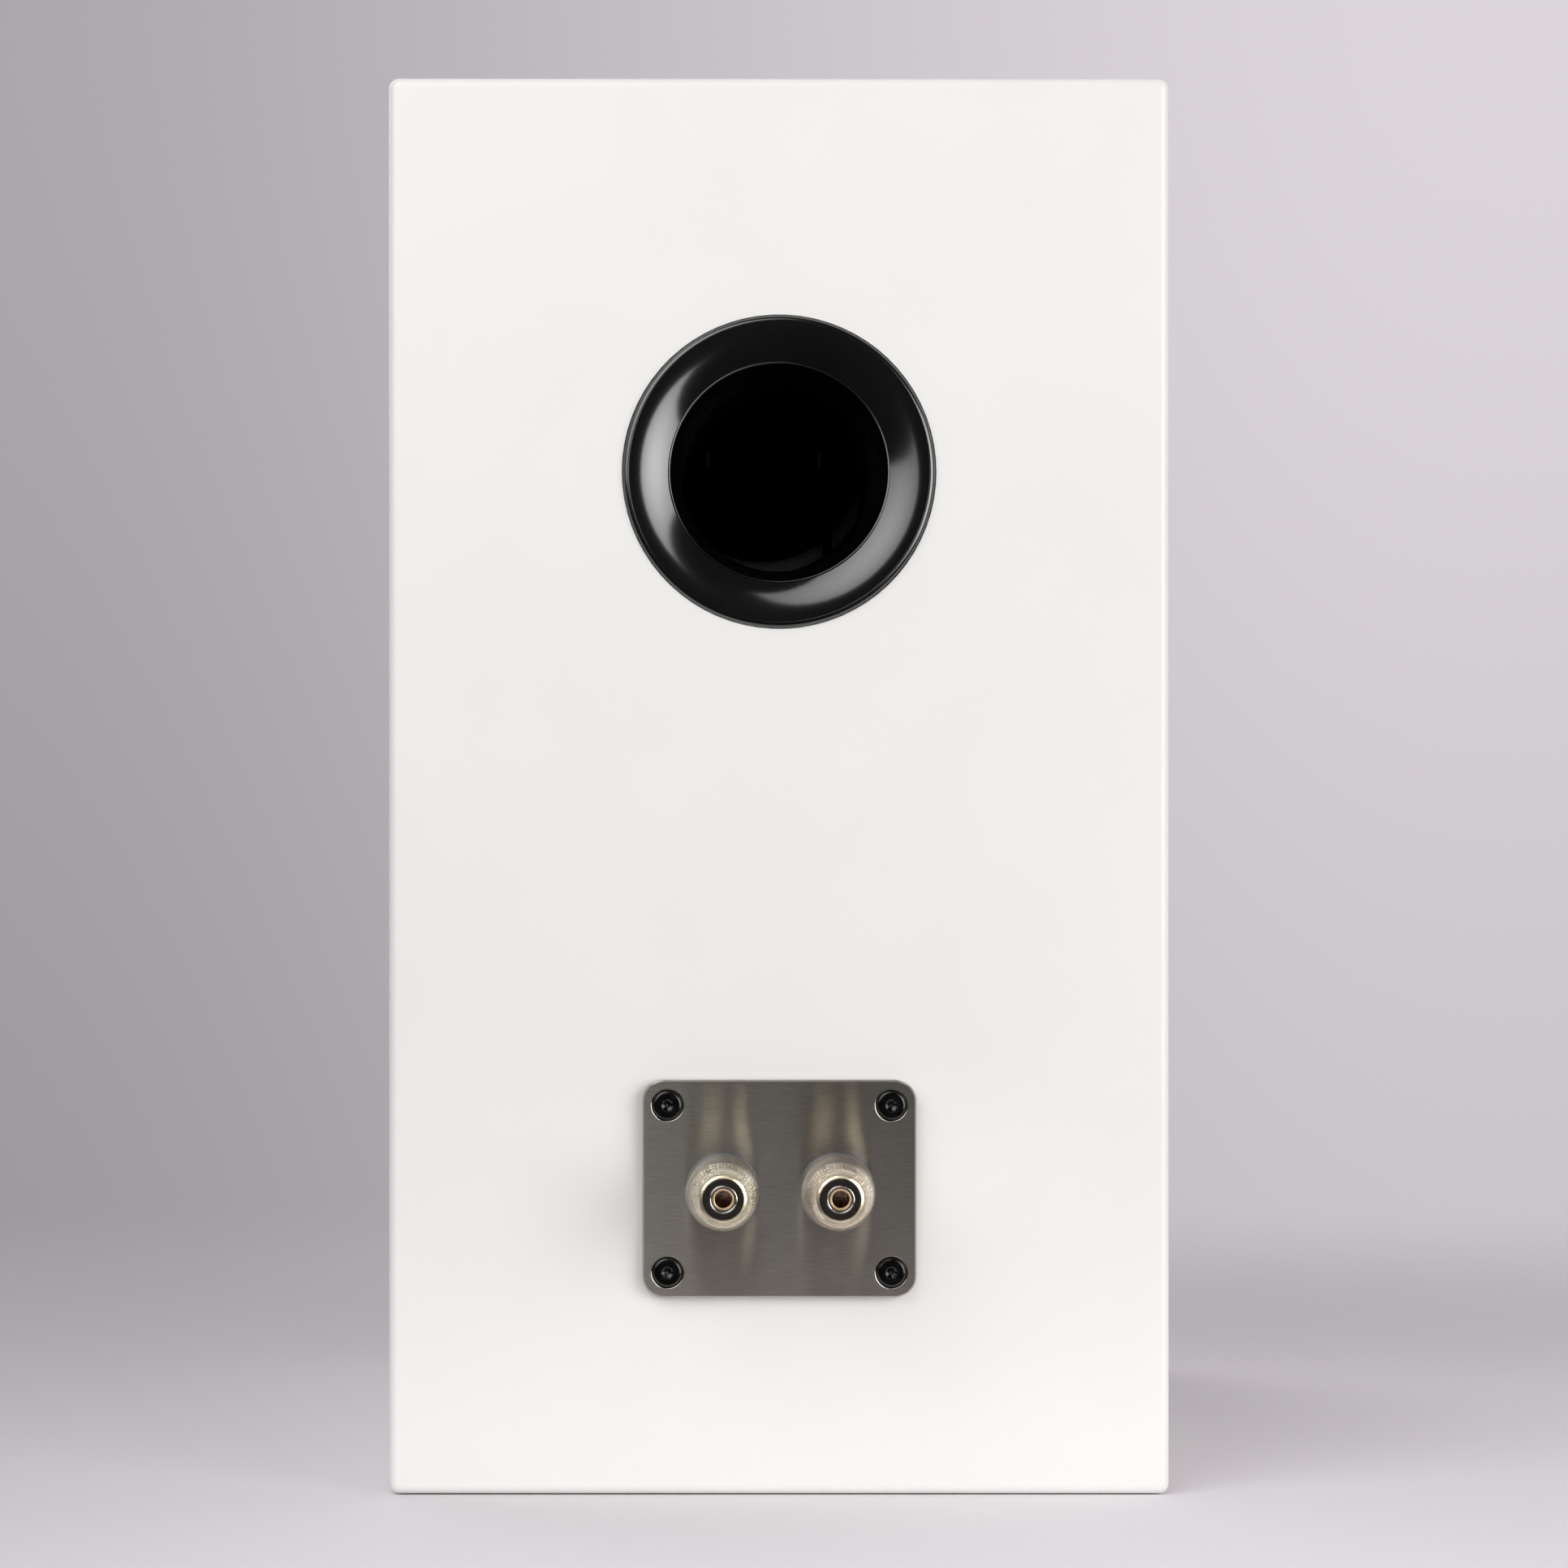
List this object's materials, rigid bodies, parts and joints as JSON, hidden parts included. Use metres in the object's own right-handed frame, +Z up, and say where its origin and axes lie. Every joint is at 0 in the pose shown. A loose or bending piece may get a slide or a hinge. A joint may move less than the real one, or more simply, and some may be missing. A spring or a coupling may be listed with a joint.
{
  "type": "bookshelf loudspeaker",
  "caption": "White lacquered two-way bookshelf loudspeaker with a rear reflex port and a brushed terminal plate with binding posts that clamp and take plugs.",
  "frame": {"origin": "centre of the cabinet's footprint on the surface it stands on", "axes": "+Z up, -Y out of the front baffle, +Y out of the rear panel, +X to the right seen from the front"},
  "size_m": [0.2, 0.3189, 0.363],
  "materials": {
    "lacquer": "satin white lacquer on fibreboard",
    "raw_board": "raw fibreboard",
    "felt": "bonded polyester felt",
    "port_plastic": "gloss black",
    "tube_plastic": "matt black",
    "plate_steel": "horizontally brushed",
    "seal_foam": "closed-cell foam",
    "black_steel": "black oxide",
    "brass": "machined",
    "clear_positive": "clear, faint pink tint",
    "clear_negative": "clear",
    "gold_plate": "bright gold plate",
    "spring_copper": "bright copper alloy",
    "ring_plastic": "moulded black",
    "tinned_brass": "tinned",
    "bright_steel": "zinc plated",
    "wire_jacket": "soft jacket",
    "hardboard": "oil-tempered",
    "copper_wire": "enamelled copper winding",
    "capacitor_film": "film wrap",
    "resistor_ceramic": "cemented ceramic",
    "basket_alloy": "satin black die casting",
    "surround_rubber": "matt butyl",
    "cone_paper": "coated pulp",
    "cap_paper": "coated pulp",
    "former_film": "amber film",
    "spider_cloth": "resin-stiffened cloth",
    "ferrite": "sintered",
    "faceplate_alloy": "satin black",
    "dome_silk": "doped cloth"
  },
  "bodies": {
    "cabinet": {"rear_panel": "lacquer", "front_baffle": "lacquer", "top_panel": "lacquer", "bottom_panel": "lacquer", "side_panel_left": "lacquer", "side_panel_right": "lacquer", "window_brace": "raw_board", "damping_pads": "felt", "port_flare": "port_plastic", "port_tube": "tube_plastic", "terminal_plate": "plate_steel", "terminal_gasket": "seal_foam", "panel_screws": "black_steel", "threaded_inserts": "brass", "base_insulator_positive": "clear_positive", "base_insulator_negative": "clear_negative", "post_stud_positive": "gold_plate", "post_stud_negative": "gold_plate", "banana_sleeves": "spring_copper", "end_rings": "ring_plastic", "rear_bushes": "ring_plastic", "solder_tags": "tinned_brass", "lock_nuts": "bright_steel", "terminal_leads": "wire_jacket", "woofer_leads": "wire_jacket", "tweeter_leads": "wire_jacket", "crossover_board": "hardboard", "inductors": "copper_wire", "capacitors": "capacitor_film", "resistors": "resistor_ceramic", "woofer_basket": "basket_alloy", "woofer_gasket": "seal_foam", "woofer_surround": "surround_rubber", "woofer_spider": "spider_cloth", "woofer_top_plate": "bright_steel", "woofer_magnet": "ferrite", "woofer_yoke": "bright_steel", "tinsel_leads": "tinned_brass", "driver_tabs": "tinned_brass", "tweeter_faceplate": "faceplate_alloy", "tweeter_gasket": "seal_foam", "tweeter_surround": "dome_silk", "tweeter_top_plate": "bright_steel", "tweeter_magnet": "ferrite", "tweeter_yoke": "bright_steel", "tweeter_chamber": "tube_plastic"},
    "cone_unit": {"woofer_cone": "cone_paper", "woofer_dust_cap": "cap_paper", "woofer_former": "former_film", "woofer_coil": "copper_wire"},
    "dome_unit": {"tweeter_dome": "dome_silk", "tweeter_coil": "copper_wire"},
    "clamp_positive": {"clamp_washer_positive": "gold_plate"},
    "nut_positive": {"nut_core_positive": "gold_plate", "nut_sleeve_positive": "clear_positive"},
    "clamp_negative": {"clamp_washer_negative": "gold_plate"},
    "nut_negative": {"nut_core_negative": "gold_plate", "nut_sleeve_negative": "clear_negative"}
  },
  "joints": [
    {"name": "cone_travel", "type": "slide", "parent": "cabinet", "child": "cone_unit", "axis": [0, -1, 0], "range_m": [-0.005, 0.005], "stiffness_N_per_m": 1000, "deforming": ["woofer_surround", "woofer_spider", "tinsel_leads"]},
    {"name": "dome_travel", "type": "slide", "parent": "cabinet", "child": "dome_unit", "axis": [0, -1, 0], "range_m": [-0.0004, 0.0004], "stiffness_N_per_m": 60, "deforming": ["tweeter_surround"]},
    {"name": "clamp_positive_lift", "type": "slide", "parent": "cabinet", "child": "clamp_positive", "axis": [0, 1, 0], "range_m": [0, 0.008]},
    {"name": "nut_positive_turn", "type": "hinge", "parent": "clamp_positive", "child": "nut_positive", "pos_m": [-0.0146, 0.16, 0.0786], "axis": [0, 1, 0], "range_deg": [0, 2880]},
    {"name": "clamp_negative_lift", "type": "slide", "parent": "cabinet", "child": "clamp_negative", "axis": [0, 1, 0], "range_m": [0, 0.008]},
    {"name": "nut_negative_turn", "type": "hinge", "parent": "clamp_negative", "child": "nut_negative", "pos_m": [0.0146, 0.16, 0.0786], "axis": [0, 1, 0], "range_deg": [0, 2880]}
  ],
  "couplings": [
    {"joint": "nut_positive_turn", "follows": "clamp_positive_lift", "rad_per_m": 6283.2},
    {"joint": "nut_negative_turn", "follows": "clamp_negative_lift", "rad_per_m": 6283.2}
  ]
}
